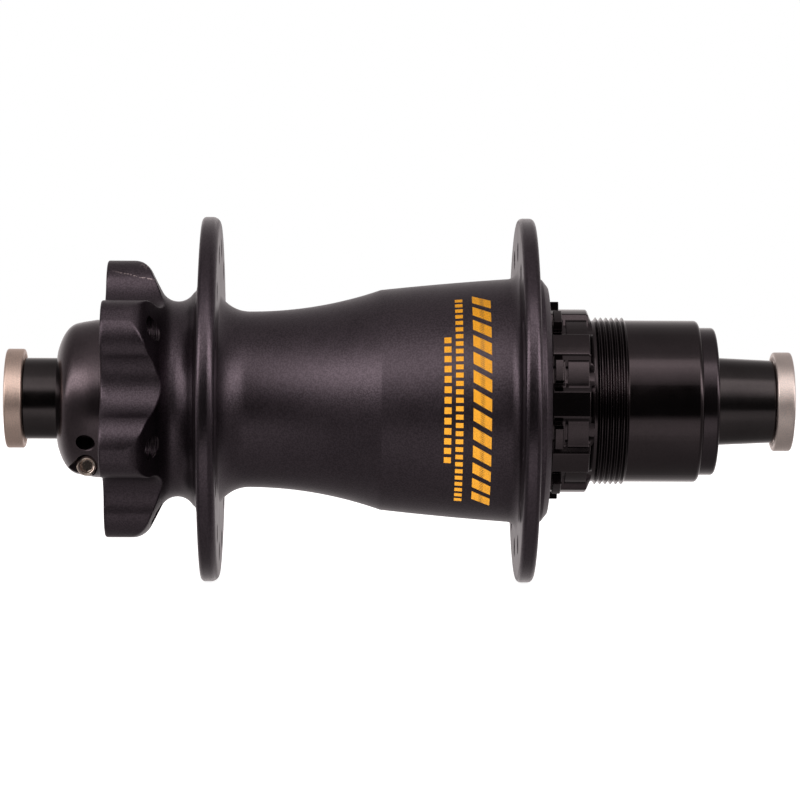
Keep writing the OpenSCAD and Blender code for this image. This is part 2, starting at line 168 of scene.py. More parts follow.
def outward(co, faces):
    """The faces turned so that the closed mesh that they make has its normals outside."""
    a, b, c = (co[faces[:, k]] for k in (0, 1, 2))
    volume = np.einsum("ij,ij->i", a, np.cross(b, c)).sum()
    if faces.shape[1] == 4:
        d = co[faces[:, 3]]
        volume += np.einsum("ij,ij->i", a, np.cross(c, d)).sum()
    return faces if volume > 0 else faces[:, ::-1]


def ring_mesh(name, radii, stations, angles):
    """A closed ring from [profile point, angle] arrays of radii and stations."""
    angles = np.radians(np.asarray(angles, float))
    n = len(angles)
    u = len(radii)
    radii = np.broadcast_to(np.asarray(radii, float).reshape(u, -1), (u, n))
    stations = np.broadcast_to(np.asarray(stations, float).reshape(u, -1), (u, n))
    co = np.stack([-radii * np.cos(angles), stations, radii * np.sin(angles)], -1).reshape(-1, 3) * MM
    i, j = np.meshgrid(np.arange(u), np.arange(n), indexing="ij")
    next_i, next_j = (i + 1) % u, (j + 1) % n
    faces = np.stack([i * n + j, next_i * n + j, next_i * n + next_j, i * n + next_j], -1).reshape(-1, 4)
    mesh = bpy.data.meshes.new(name)
    mesh.from_pydata(co.tolist(), [], outward(co, faces).tolist())
    return linked(name, mesh)


def turned(name, points, steps=256):
    points = np.array(points)
    return ring_mesh(name, points[:, 0], points[:, 1], np.arange(steps) * 360 / steps)


def bar(points, place, sides=48):
    """A solid turned about local Z from an open profile of (radius, height), with flat ends."""
    turn = np.radians(np.arange(sides) * 360 / sides)
    co = [(r * math.cos(a), r * math.sin(a), z) for r, z in points for a in turn]
    m = len(points)
    faces = []
    for i in range(m - 1):
        for j in range(sides):
            a, b = i * sides + j, i * sides + (j + 1) % sides
            faces.append([a, b, b + sides, a + sides])
    faces += [list(range(sides))[::-1], [(m - 1) * sides + j for j in range(sides)]]
    mesh = bpy.data.meshes.new("cutter")
    mesh.from_pydata([tuple(Vector(c) * MM) for c in co], [], faces)
    mesh.transform(place)
    return linked("cutter", mesh)


def block(low, high, place):
    """A box cutter between two corners in millimetres."""
    sides = list(zip(low, high))
    co = [Vector((x, y, z)) * MM for x in sides[0] for y in sides[1] for z in sides[2]]
    faces = [(0, 1, 3, 2), (4, 6, 7, 5), (0, 4, 5, 1), (2, 3, 7, 6), (0, 2, 6, 4), (1, 5, 7, 3)]
    mesh = bpy.data.meshes.new("cutter")
    mesh.from_pydata(co, [], faces)
    mesh.transform(place)
    return linked("cutter", mesh)


def along_axle(angle, y):
    """Puts a cutter that is drawn about Z beside the axle: its Z is +Y and its X points outwards."""
    a = math.radians(angle)
    across = Vector((-math.cos(a), 0, math.sin(a)))
    along = Vector((0, 1, 0))
    third = along.cross(across)
    matrix = Matrix((across, third, along)).transposed().to_4x4()
    return Matrix.Translation(Vector((0, y * MM, 0))) @ matrix


def outwards(angle, y):
    """Puts a cutter that is drawn about Z on a radius of the axle, its Z pointing outwards."""
    a = math.radians(angle)
    out = Vector((-math.cos(a), 0, math.sin(a)))
    along = Vector((0, 1, 0))
    matrix = Matrix((along.cross(out), along, out)).transposed().to_4x4()
    return Matrix.Translation(Vector((0, y * MM, 0))) @ matrix


def cut(obj, cutters):
    """Takes the cutters out of obj, one after the other, and removes them."""
    for cutter in cutters:
        modifier = obj.modifiers.new("cut", "BOOLEAN")
        modifier.operation = "DIFFERENCE"
        modifier.solver = "MANIFOLD"
        modifier.object = cutter
    graph = bpy.context.evaluated_depsgraph_get()
    mesh = bpy.data.meshes.new_from_object(obj.evaluated_get(graph))
    obj.modifiers.clear()
    obj.data = mesh
    for cutter in cutters:
        bpy.data.objects.remove(cutter)
    return obj


def smooth(obj, angle=32):
    obj.data.shade_smooth()
    obj.data.set_sharp_from_angle(angle=math.radians(angle))
    weighted = obj.modifiers.new("weighted_normals", "WEIGHTED_NORMAL")
    weighted.keep_sharp = True
    return obj


# ---- materials ----

class Shading:
    """The node tree of a material or a world, under construction."""

    def __init__(self, owner):
        owner.use_nodes = True
        self.tree = owner.node_tree
        self.tree.nodes.clear()

    def add(self, kind, inputs=None, **settings):
        node = self.tree.nodes.new("ShaderNode" + kind)
        for key, value in settings.items():
            setattr(node, key, value)
        for key, value in (inputs or {}).items():
            if isinstance(value, bpy.types.NodeSocket):
                self.link(value, node.inputs[key])
            else:
                node.inputs[key].default_value = value
        return node

    def link(self, source, target):
        self.tree.links.new(source, target)

    def times(self, a, b):
        return self.add("Math", {0: a, 1: b}, operation="MULTIPLY").outputs[0]


class Surface(Shading):
    """A procedural material under construction."""

    def __init__(self, name):
        self.material = bpy.data.materials.new(name)
        super().__init__(self.material)
        self.shader = self.add("BsdfPrincipled")
        self.link(self.shader.outputs[0], self.add("OutputMaterial").inputs[0])
        self.place = self.add("TexCoord").outputs["Object"]

    def noise(self, size, detail=3, stretch=None, rough=0.55):
        """Noise with features of this size in millimetres, drawn out by stretch along X, Y and Z."""
        place = self.place
        if stretch:
            place = self.add("Mapping", {"Vector": place, "Scale": [1 / s for s in stretch]}).outputs[0]
        return self.add("TexNoise", {"Vector": place, "Scale": 1 / (size * MM), "Detail": detail,
                                     "Roughness": rough}).outputs["Fac"]

    def between(self, value, low, high, to_low=0.0, to_high=1.0):
        return self.add("MapRange", {"Value": value, "From Min": low, "From Max": high, "To Min": to_low,
                                     "To Max": to_high}).outputs[0]

    def blend(self, factor, a, b):
        return self.add("Mix", {0: factor, 6: a, 7: b}, data_type="RGBA").outputs[2]

    def part(self, axis):
        return self.add("SeparateXYZ", {0: self.place}).outputs[axis]

    def from_axis(self):
        """Distance from the axle."""
        flat = self.add("VectorMath", {0: self.place, 1: (1, 0, 1)}, operation="MULTIPLY").outputs[0]
        return self.add("VectorMath", {0: flat}, operation="LENGTH").outputs["Value"]

    def near(self, centre, far, close):
        """1 within the close distance of a point of the object, in millimetres, and 0 beyond the far one."""
        away = self.add("VectorMath", {0: self.place, 1: Vector(centre) * MM}, operation="DISTANCE")
        return self.between(away.outputs["Value"], far * MM, close * MM)

    def edges(self, size):
        """The normal rounded over this many millimetres, and how far it leans from the true one."""
        rounded = self.add("Bevel", {"Radius": size * MM}, samples=6).outputs[0]
        true = self.add("NewGeometry").outputs["Normal"]
        agree = self.add("VectorMath", {0: rounded, 1: true}, operation="DOT_PRODUCT").outputs["Value"]
        return rounded, self.between(agree, 0.995, 0.88)


def colour(rgb, by=1.0):
    return (rgb[0] * by, rgb[1] * by, rgb[2] * by, 1.0)


def finish(name, rgb, spread=0.15, metallic=0.0, rough=0.4, rough_spread=0.05, specular=0.5, grain=0.25,
           depth=0.01, patch=7.0, lines=0.0, edge=0.15, edge_rgb=(0.2, 0.19, 0.19), edge_share=0.5,
           speckle=0.3, far_rgb=None, rims=None, scuffed=False):
    """A metal, anodised or moulded finish: patchy colour, fine grain, turning lines and worn edges.

    grain, depth, patch, lines and edge are sizes in millimetres; rims is a radius and its roughness."""
    s = Surface(name)
    s.shader.inputs["Metallic"].default_value = metallic
    s.shader.inputs["Specular IOR Level"].default_value = specular
    patches = s.between(s.noise(patch, 4), 0.3, 0.7)
    grains = s.noise(grain, 2)
    base = s.blend(patches, colour(rgb, 1 - spread), colour(rgb, 1 + spread))
    # On the drive side (Y below zero) the colour goes over to a second tint, far_rgb, so the drive-side cap comes
    # out cooler and less coppery than the disc-side cap.
    if far_rgb:
        at_drive_side = s.between(s.part("Y"), 0.01, -0.01)
        far_base = s.blend(patches, colour(far_rgb, 1 - spread), colour(far_rgb, 1 + spread))
        base = s.blend(at_drive_side, base, far_base)
    base = s.blend(s.between(grains, 0.42, 0.58, 0, 1), base, s.blend(speckle, base, colour(rgb, 2.2)))
    rounded, leaning = s.edges(edge)
    worn = s.times(leaning, s.between(s.noise(0.9, 3), 0.42, 0.62, 0.15, edge_share))
    base = s.blend(worn, base, colour(edge_rgb))
    roughness = s.between(patches, 0, 1, rough - rough_spread, rough + rough_spread)
    if rims:
        over_rim = s.between(s.from_axis(), (rims[0] - 0.3) * MM, rims[0] * MM)
        roughness = s.add("Mix", {0: over_rim, 2: roughness, 3: rims[1]}).outputs[0]
    height = grains
    if lines:
        turning = s.noise(lines, 2, stretch=(400, 1, 400))
        height = s.add("Math", {0: grains, 1: turning}, operation="ADD").outputs[0]
    if scuffed:
        base = s.blend(s.times(scratches(s), 0.75), base, colour(edge_rgb, 2.2))
    s.link(base, s.shader.inputs["Base Color"])
    s.link(roughness, s.shader.inputs["Roughness"])
    bump = s.add("Bump", {"Strength": 1.0, "Distance": depth * MM, "Height": height, "Normal": rounded})
    s.link(bump.outputs[0], s.shader.inputs["Normal"])
    return s.material


def scratches(s):
    """A broken scratch across the top lobe of the star, and a rubbed patch over it."""
    start, slope = (53.8, 23.9), 0.2
    sway = s.add("Math", {0: s.noise(2.5, 1), 1: 0.5}, operation="SUBTRACT").outputs[0]
    waver = s.times(sway, 0.7 * MM)
    along = s.add("Math", {0: s.part("Y"), 1: slope, 2: (start[1] - start[0] * slope) * MM},
                  operation="MULTIPLY_ADD").outputs[0]
    off = s.add("Math", {0: s.part("Z"), 1: along}, operation="SUBTRACT").outputs[0]
    off = s.add("Math", {0: s.add("Math", {0: off, 1: waver}, operation="ADD").outputs[0]},
                operation="ABSOLUTE").outputs[0]
    line = s.times(s.between(off, 0.14 * MM, 0.03 * MM), s.between(s.noise(0.45, 2), 0.44, 0.56))
    line = s.times(line, s.near((-3, 50, 23.2), 4.6, 3.6))
    rubbed = s.times(s.between(s.noise(0.4, 3), 0.5, 0.62), s.near((-1.5, 47.8, 25.2), 1.5, 0.4))
    return s.add("Math", {0: line, 1: rubbed}, operation="MAXIMUM").outputs[0]


def spot(radius, angle, y):
    a = math.radians(angle)
    return (-radius * math.cos(a), y, radius * math.sin(a))


FINISHES = {
    "shell_black": dict(rgb=(0.078, 0.064, 0.075), spread=0.1, metallic=1.0, rough=0.38,
                        rough_spread=0.03, grain=0.3, depth=0.035, edge=0.22, edge_rgb=(0.24, 0.2, 0.2),
                        speckle=0.35, rims=(FLANGE_R - 0.25, 0.24), scuffed=True),
    "collar_black": dict(rgb=(0.086, 0.07, 0.077), spread=0.1, metallic=1.0, rough=0.23,
                         rough_spread=0.03, depth=0.008, lines=0.09, edge_rgb=(0.24, 0.2, 0.2)),
    "driver_black": dict(rgb=(0.054, 0.045, 0.048), spread=0.1, metallic=1.0, rough=0.15,
                         rough_spread=0.03, grain=0.12, depth=0.0012, lines=0.07, edge=0.1,
                         edge_rgb=(0.16, 0.14, 0.14), edge_share=0.35),
    "end_ring_black": dict(rgb=(0.056, 0.047, 0.052), spread=0.1, metallic=1.0, rough=0.18,
                           rough_spread=0.03, grain=0.12, depth=0.0012, lines=0.07,
                           edge_rgb=(0.22, 0.2, 0.2)),
    "axle_black": dict(rgb=(0.055, 0.049, 0.05), spread=0.12, metallic=1.0, rough=0.16,
                       rough_spread=0.04, grain=0.12, depth=0.0015, lines=0.08,
                       edge_rgb=(0.18, 0.17, 0.17)),
    "cap_steel": dict(rgb=(0.72, 0.56, 0.48), spread=0.06, metallic=1.0, rough_spread=0.04, grain=0.2,
                      depth=0.02, patch=4, edge_rgb=(0.8, 0.7, 0.64), speckle=0.15,
                      far_rgb=(0.74, 0.66, 0.62)),
    "screw_steel": dict(rgb=(0.86, 0.7, 0.61), spread=0.06, metallic=1.0, rough=0.14, rough_spread=0.04,
                        grain=0.15, depth=0.002, patch=2, edge_rgb=(0.9, 0.82, 0.76)),
    "ring_steel": dict(rgb=(0.42, 0.42, 0.43), spread=0.07, metallic=1.0, rough=0.3, grain=0.2,
                       depth=0.004, lines=0.06, edge_rgb=(0.6, 0.6, 0.6)),
    "race_steel": dict(rgb=(0.52, 0.52, 0.53), spread=0.05, metallic=1.0, rough=0.24, rough_spread=0.04,
                       grain=0.15, depth=0.002, lines=0.05, edge_rgb=(0.7, 0.7, 0.7)),
    "ball_steel": dict(rgb=(0.72, 0.72, 0.73), spread=0.03, metallic=1.0, rough=0.08, rough_spread=0.02,
                       grain=0.2, depth=0.0006, patch=2, edge_rgb=(0.8, 0.8, 0.8)),
    "spring_steel": dict(rgb=(0.38, 0.38, 0.4), spread=0.07, metallic=1.0, rough=0.32, grain=0.12,
                         depth=0.003, patch=3, edge_rgb=(0.55, 0.55, 0.55)),
    "cage_nylon": dict(rgb=(0.3, 0.2, 0.09), spread=0.1, rough=0.5, rough_spread=0.06, specular=0.4,
                       grain=0.3, depth=0.008, patch=3, edge_rgb=(0.42, 0.32, 0.18)),
    "seal_rubber": dict(rgb=(0.2, 0.022, 0.016), spread=0.12, rough=0.6, specular=0.3, patch=3,
                        edge_rgb=(0.3, 0.08, 0.06)),
    "oring_rubber": dict(rgb=(0.012, 0.012, 0.012), spread=0.2, rough=0.55, rough_spread=0.06,
                         specular=0.35, grain=0.2, depth=0.008, patch=3, edge_rgb=(0.06, 0.06, 0.06)),
}
MATERIALS = {name: finish(name, **settings) for name, settings in FINISHES.items()}
GOLD_PAINT = finish("gold_paint", rgb=(0.78, 0.34, 0.012), spread=0.06, specular=0.4, grain=0.15,
                    depth=0.004, patch=2, edge=0.05, edge_rgb=(0.5, 0.24, 0.03), edge_share=0.4)


def paint(obj, material):
    obj.data.materials.clear()
    obj.data.materials.append(material)


def slot_of(node):
    return next(p["material_slot"] for p in frame["record"]["subparts"] if p["node"] == node)


def stand_in(obj, node):
    """Smooths a finished piece and lets it stand for its CAD node, on that node's body and in its finish."""
    slot = slot_of(node)
    body = next(b for b, nodes in frame["record"]["behaviour"]["bodies"].items() if node in nodes)
    paint(smooth(obj), MATERIALS[slot])
    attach(obj, body)
    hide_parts(node)
    return obj


# ---- hub shell ----

def star_limit(angles):
    """The star's outline: round lobes, and a round hollow that runs on from each lobe to the next."""
    step = 360 / LOBES
    from_hollow = np.radians((angles - LOBE_AT) % step - step / 2)
    from_lobe = np.radians(step / 2) - np.abs(from_hollow)
    lobe_centre = STAR_R + 0.1 - LOBE_ARC
    hollow_centre = STAR_WAIST_R + HOLLOW_ARC
    in_lobe = LOBE_ARC ** 2 - (lobe_centre * np.sin(from_lobe)) ** 2
    in_hollow = HOLLOW_ARC ** 2 - (hollow_centre * np.sin(from_hollow)) ** 2
    lobe = np.where(in_lobe > 0, lobe_centre * np.cos(from_lobe) + np.sqrt(np.maximum(in_lobe, 0)), 0)
    hollow = hollow_centre * np.cos(from_hollow) - np.sqrt(np.maximum(in_hollow, 0))
    hollow = np.where(in_hollow > 0, hollow, 2 * STAR_R)
    return np.minimum(np.minimum(np.maximum(lobe, STAR_CORE_R), hollow), STAR_R)


def smooth_min(a, b, k):
    h = np.clip(0.5 + 0.5 * (b - a) / k, 0, 1)
    return b + (a - b) * h - k * h * (1 - h)


def star_rows(angles):
    """The disc mount from its mouth over a lobe or a hollow to the neck, as [row, angle] arrays."""
    back = arc(STAR_R - 4, 50.3, 4, 0, -62, 40) + arc(NECK_R + NECK_ARC, NECK_Y, NECK_ARC, 118, 180, 60)
    back = np.array(back)
    length = np.concatenate([[0], np.cumsum(np.linalg.norm(np.diff(back, axis=0), axis=1))])
    edge = star_limit(angles)
    meets = np.interp(-edge, -back[:, 0], length)
    meets_y = np.interp(meets, length, back[:, 1])
    rows = []
    face_round, back_round, mouth = 0.45, 0.35, 15.75
    for t in np.linspace(0, 1, 7):
        rows.append((mouth + (edge - face_round - mouth) * t, np.full_like(angles, ROTOR_FACE_Y)))
    for a in np.radians([67.5, 45, 22.5, 0]):
        rows.append((edge - face_round * (1 - math.cos(a)), np.full_like(angles, ROTOR_FACE_Y - face_round)
                     + face_round * math.sin(a)))
    for t in np.linspace(0, 1, 13)[1:]:
        low = ROTOR_FACE_Y - face_round
        rows.append((edge, low + (meets_y + back_round - low) * t))
    far = meets + back_round
    far_r, far_y = np.interp(far, length, back[:, 0]), np.interp(far, length, back[:, 1])
    for t in (0.3, 0.6, 0.85):
        rows.append(((1 - t) ** 2 * edge + 2 * t * (1 - t) * edge + t * t * far_r,
                     (1 - t) ** 2 * (meets_y + back_round) + 2 * t * (1 - t) * meets_y + t * t * far_y))
    for t in np.linspace(0, 1, 25):
        at = far + (length[-1] - far) * t
        rows.append((np.interp(at, length, back[:, 0]), np.interp(at, length, back[:, 1])))
    return np.array([r for r, _ in rows]), np.array([y for _, y in rows])


FLARE_END = math.degrees(math.asin((WAIST_Y - EDGE_Y) / FLARE_ARC))
EDGE_R = WAIST_R + FLARE_ARC * (1 - math.cos(math.radians(FLARE_END)))
BARREL_END_Y = DRIVE_FLANGE_Y + 1.9
BARREL_BULGE = 0.12


def barrel_radius(y):
    t = (EDGE_Y - 0.15 - y) / (EDGE_Y - 0.15 - BARREL_END_Y)
    return EDGE_R + 0.02 + (BARREL_R - EDGE_R - 0.02) * t + 4 * BARREL_BULGE * t * (1 - t)


def shell_outside():
    """From the neck over both flanges to the drive-side boss."""
    rim = FLANGE_R - EDGE_ROUND
    disc_in_y = DISC_FLANGE_Y - DISC_FLANGE_T + DISC_IN_ROUND
    fillet_end = math.degrees(math.asin((DISC_FLANGE_Y - DISC_FLANGE_T - WAIST_Y) / FILLET_ARC))
    barrel = [(barrel_radius(y), y) for y in np.linspace(EDGE_Y - 0.15, BARREL_END_Y, 16)]
    drive_back_y = DRIVE_FLANGE_Y - DRIVE_FLANGE_T
    return (
        arc(NECK_R + NECK_ARC, NECK_Y, NECK_ARC, 184, 236, 14)
        + [(20.6, DISC_FLANGE_Y + 1.1), (26.4, DISC_FLANGE_Y)]
        + arc(FLANGE_R - DISC_OUT_ROUND, DISC_FLANGE_Y - DISC_OUT_ROUND, DISC_OUT_ROUND, 90, 0, 8)
        + arc(FLANGE_R - DISC_IN_ROUND, disc_in_y, DISC_IN_ROUND, 0, -90, 12)
        + arc(WAIST_R + FILLET_ARC, WAIST_Y, FILLET_ARC, 180 - fillet_end, 180, 16)
        + arc(WAIST_R + FLARE_ARC, WAIST_Y, FLARE_ARC, 181, 180 + FLARE_END, 24)
        + barrel
        + arc(BARREL_R + 1.9, BARREL_END_Y, 1.9, 190, 270, 9)
        + arc(rim, DRIVE_FLANGE_Y - EDGE_ROUND, EDGE_ROUND, 90, 0, 8)
        + arc(rim, drive_back_y + EDGE_ROUND, EDGE_ROUND, 0, -90, 8)
        + arc(23.7, drive_back_y - 0.8, 0.8, 90, 180, 6)
        + [(22.9, BOSS_END_Y + 1.1), (21.5, BOSS_END_Y)])


def shell_inside():
    """From the drive-side boss through the bores back to the mouth of the disc mount."""
    return [
        (20.3, BOSS_END_Y), (20, BOSS_END_Y + 0.3), (20, -19.6), (18.6, -19.6), (18.6, -3), (14, -3),
        (13.4, 1), (13.4, 43.6), (15.2, 43.6), (15.2, 52), (15.5, 52.3), (15.5, ROTOR_FACE_Y - 0.25)]


def spoke_cutter(angle, pcd, face_y, thickness):
    sink, lip = 0.6, 0.6
    outer = [(SPOKE_R, -sink), (SPOKE_R + sink, 0), (SPOKE_R + sink + lip, lip)]
    profile = [(r, -thickness - y) for r, y in outer[::-1]] + outer
    place = along_axle(angle, face_y) @ Matrix.Translation((pcd / 2 * MM, 0, 0))
    return bar(profile, place, 40)


def rotor_cutter(angle):
    """A threaded hole with a small countersink."""
    pitch, crest, top, bottom = 0.8, ROTOR_HOLE_R + 0.25, -0.9, -12.4
    count = int((top - bottom) / pitch * 2)
    threads = [(ROTOR_HOLE_R if k % 2 else crest, top - k * pitch / 2) for k in range(count)]
    countersink = [(ROTOR_HOLE_R + 0.05, -0.6), (ROTOR_HOLE_R + 0.6, 0), (ROTOR_HOLE_R + 0.9, 0.3)]
    profile = [(2.2, bottom - 0.05)] + threads[::-1] + countersink
    circle_r = mount("rotor_bolts")["dims"]["pcd_mm"] / 2
    place = along_axle(angle, ROTOR_FACE_Y) @ Matrix.Translation((circle_r * MM, 0, 0))
    return bar(profile, place, 40)


def hub_shell():
    angles = np.arange(720) * 0.5
    star_r, star_y = star_rows(angles)
    rest = np.array(soften(shell_outside() + shell_inside(), 0.2))
    radii = np.vstack([star_r, np.repeat(rest[:, :1], len(angles), 1)])
    stations = np.vstack([star_y, np.repeat(rest[:, 1:], len(angles), 1)])
    shell = ring_mesh("shell", radii, stations, angles)
    disc_pcd = mount("disc_side_spokes")["dims"]["pcd_mm"]
    drive_pcd = mount("drive_side_spokes")["dims"]["pcd_mm"]
    cutters = [rotor_cutter(LOBE_AT + 360 * k / LOBES) for k in range(LOBES)]
    for k in range(SPOKES):
        turn = 360 * k / SPOKES
        cutters.append(spoke_cutter(DISC_SPOKE_AT + turn, disc_pcd, DISC_FLANGE_Y, DISC_FLANGE_T))
        cutters.append(spoke_cutter(DRIVE_SPOKE_AT + turn, drive_pcd, DRIVE_FLANGE_Y, DRIVE_FLANGE_T))
    stand_in(cut(shell, cutters), "hub_shell")


# ---- driver ----

def driver_angles():
    """Angle lines at each edge of the splines, the stops and the inner keys."""
    half = [0, 3, 5.5, 7, 7.5, 7.9, 8.3, 9, 9.8, 10.5, 11, 11.6, 12.6, 13.3, 13.5, 13.65, 13.9, 15.5, 17.5,
            20]
    middles = [STOP_AT + 20 + 40 * k for k in range(SPLINES)]
    spline_lines = [middle + side * a for middle in middles for a in half for side in (1, -1)]
    key_lines = [30 * k + a for k in range(12) for a in (-5.4, -5.2, 5.2, 5.4)]
    lines = np.unique(np.round(np.array(spline_lines + key_lines) % 360, 3))
    return lines[np.concatenate([[True], np.diff(lines) > 0.05])]


def steps(*pairs):
    """A stepped profile: (station, value) pairs, where a repeated station is a wall."""
    stations, values = [], []
    for y, value in pairs:
        stations.append(y if not stations or abs(stations[-1] - y) > 1e-6 else y - 0.03)
        values.append(value)
    return np.array(stations), np.array(values)


def driver_outside(angles):
    """From the shell bearing's shoulder over the stops and splines to the thread, as [row, angle] arrays."""
    base = steps((-27, 15.6), (-28.5, 15.6), (-28.5, SPLINE_ROOT), (-30.45, SPLINE_ROOT), (-30.45, 15.6),
                 (-30.95, 15.6), (-30.95, SPLINE_ROOT), (-34.85, SPLINE_ROOT), (-34.85, 15.2), (-36.2, 15.2))
    spline = steps((-27, 0), (-28.1, 0), (-28.1, SPLINE_R - 0.12), (-28.24, SPLINE_R), (-34.95, SPLINE_R),
                   (-35.2, SPLINE_R - 0.2), (-35.93, 15.45), (-35.96, 0), (-36.2, 0))
    stop = steps((-27, 0), (-28.45, 0), (-28.45, STOP_R - 0.1), (-28.57, STOP_R), (-29.93, STOP_R),
                 (-30.05, STOP_R - 0.1), (-30.05, 0), (-36.2, 0))
    rows_y = np.unique(np.concatenate([base[0], spline[0], stop[0], np.linspace(-31, -34.8, 6)]))[::-1]

    def value(profile):
        return np.interp(-rows_y, -profile[0], profile[1])[:, None]

    half_step = 180 / SPLINES
    from_spline = np.abs((angles - STOP_AT) % (2 * half_step) - half_step)
    from_stop = half_step - from_spline
    # a spline's side is a straight line: the slope and offset of that line
    side_lean, side_offset = 0.742, 15.106
    tan = np.tan(np.radians(from_spline))
    side = side_offset / (tan + side_lean) / np.cos(np.radians(from_spline))
    tip = smooth_min(np.broadcast_to(value(spline), (len(rows_y), len(angles))), side, 0.12)
    tip = np.where(value(spline) > 0, tip, 0)
    block_tip = value(stop) * np.clip((6.5 - from_stop) / 0.2, 0, 1)
    radii = np.maximum(np.maximum(value(base), tip), block_tip)
    return radii, np.repeat(rows_y[:, None], len(angles), 1)


def thread_and_nose():
    """Six thread crests, the smooth tube and its bores, up to the needle cup's end."""
    root, crest, pitch = 15.25, 15.8, 1.0
    thread = []
    for k in range(6):
        y = -36.5 - k * pitch
        thread += [(root, y - 0.04), (crest - 0.06, y - 0.4), (crest, y - 0.43), (crest, y - 0.5),
                   (crest - 0.06, y - 0.53), (root, y - 0.9)]
    nose = [(root, -42.2), (NOSE_R, -42.35)]
    nose += arc(NOSE_R - 0.8, NOSE_END_Y + 0.8, 0.8, 0, -90, 8)
    bores = [(13, NOSE_END_Y), (13, -49.8), (11.8, -49.8), (11.8, -28), (11.4, -28), (11.4, -14), (11, -14),
             (11, DRIVER_INNER_Y)]
    return thread + soften(nose + bores, 0.15)


def driver_inner_rows(angles):
    """The shaft under the clutch with its twelve keys, from its end back to the bearing's shoulder."""
    key_tip, key_half = 13.9, 5.3
    from_key = np.abs((angles + 15) % 30 - 15)
    shaft = [(12.9, DRIVER_INNER_Y, 0), (12.9, -4.1, 0), (12.9, -4.13, 1), (12.9, -19.57, 1),
             (12.9, -19.6, 0), (14.3, -19.63, 0), (14.3, -26.65, 0), (15.6, -26.68, 0), (15.6, -26.9, 0)]
    keyed = np.where(from_key < key_half, key_tip, 0)
    radii = np.array([np.maximum(r, keyed * has_key) for r, _, has_key in shaft])
    return radii, np.array([np.full_like(angles, y) for _, y, _ in shaft])


def driver_body():
    angles = driver_angles()
    outside_r, outside_y = driver_outside(angles)
    rest = np.array(thread_and_nose())
    inner_r, inner_y = driver_inner_rows(angles)
    radii = np.vstack([outside_r, np.repeat(rest[:, :1], len(angles), 1), inner_r])
    stations = np.vstack([outside_y, np.repeat(rest[:, 1:], len(angles), 1), inner_y])
    stand_in(ring_mesh("driver", radii, stations, angles), "driver_body")


def driver_end_ring():
    profile = [(10.3, -54.9), (13, -54.9), (13, NOSE_END_Y), (END_RING_R, NOSE_END_Y)]
    profile += arc(END_RING_R - 0.6, END_RING_Y + 0.6, 0.6, 0, -90, 8)
    profile += [(10.6, END_RING_Y), (10.3, END_RING_Y + 0.3)]
    stand_in(turned("end_ring", soften(profile, 0.12, closed=True)), "driver_end_ring")


# ---- axle, caps and collar ----

def axle():
    groove_r = STUB_R - 0.45
    grooves = [(STUB_R, HALF - 1.8), (groove_r, HALF - 1.8), (groove_r, HALF - 2.4), (STUB_R, HALF - 2.4)]
    profile = [(BORE_R, HALF - 1), (STUB_R, HALF - 1)] + grooves
    profile += [(STUB_R, HALF - CAP_WIDTH), (7.65, HALF - CAP_WIDTH), (7.65, 63), (SEAT_R, 62.2),
                (SEAT_R, 40), (8, 39), (8, -10.5), (SEAT_R, -11.5), (SEAT_R, -54.85), (9.8, -54.85),
                (9.8, -57.3), (8.35, -58.4), (7.78, CAP_WIDTH - HALF), (STUB_R, CAP_WIDTH - HALF)]
    profile += [(r, -y) for r, y in grooves[::-1]] + [(STUB_R, 1 - HALF), (BORE_R, 1 - HALF)]
    stand_in(turned("axle_tube", soften(profile, 0.12, closed=True)), "axle")


def end_cap(name, node, side):
    rim, inner = CAP_R - 0.4, HALF - CAP_WIDTH
    profile = [(BORE_R + 0.3, HALF), (rim, HALF)] + arc(rim, HALF - 0.4, 0.4, 90, 0, 8)
    profile += arc(rim, inner + 0.4, 0.4, 0, -90, 8)
    profile += [(8.5, inner), (8.1, inner + 0.6), (STUB_R + 0.02, inner + 0.6), (STUB_R + 0.02, HALF - 0.98),
                (BORE_R, HALF - 0.98), (BORE_R, HALF - 0.3)]
    profile = [(r, side * y) for r, y in soften(profile, 0.1, closed=True)]
    stand_in(turned(name, profile), node)


SCREW_PLACE = Matrix.Translation(Vector((0, SCREW_Y, SCREW_Z)) * MM)
SCREW_LINE = SCREW_PLACE @ Matrix.Rotation(-math.pi / 2, 4, "Y")
POCKET_TILT = -38
TOOL_HOLE_AT = -34.5


def preload_collar():
    profile = [(SEAT_R + RUN, 51.3), (10.1, 51.3), (10.1, 54.6), (13, 54.6), (13, 52.8),
               (COLLAR_R - 0.2, 52.8), (COLLAR_R, 53), (COLLAR_R, 57), (COLLAR_R - 0.4, 59.5)]
    profile += bezier((COLLAR_R - 0.58, 60.3), (COLLAR_R - 0.9, 62.9), (9.5, 64.2), 16)
    profile += [(9.3, 64.2), (9.2, 63.4), (SEAT_R + RUN, 62.6)]
    collar = turned("collar", soften(profile, 0.12, closed=True), 320)
    hole_r = 1.475
    cutters = [
        block((-0.4, 51, -17), (0.4, 66, -7.5), Matrix.Identity(4)),
        bar([(1.3, -6.4), (1.3, 4)], SCREW_LINE),
        bar([(2.15, 3.4), (2.15, 12.4)], SCREW_LINE),
        block((-12, 0, -2), (-3.4, 7, 2), SCREW_PLACE @ Matrix.Rotation(math.radians(POCKET_TILT), 4, "X")),
        bar([(hole_r, 10.6), (hole_r, 14.05), (hole_r + 0.3, 14.55), (hole_r + 0.9, 15.5)],
            outwards(TOOL_HOLE_AT, SCREW_Y)),
    ]
    stand_in(cut(collar, cutters), "preload_collar")


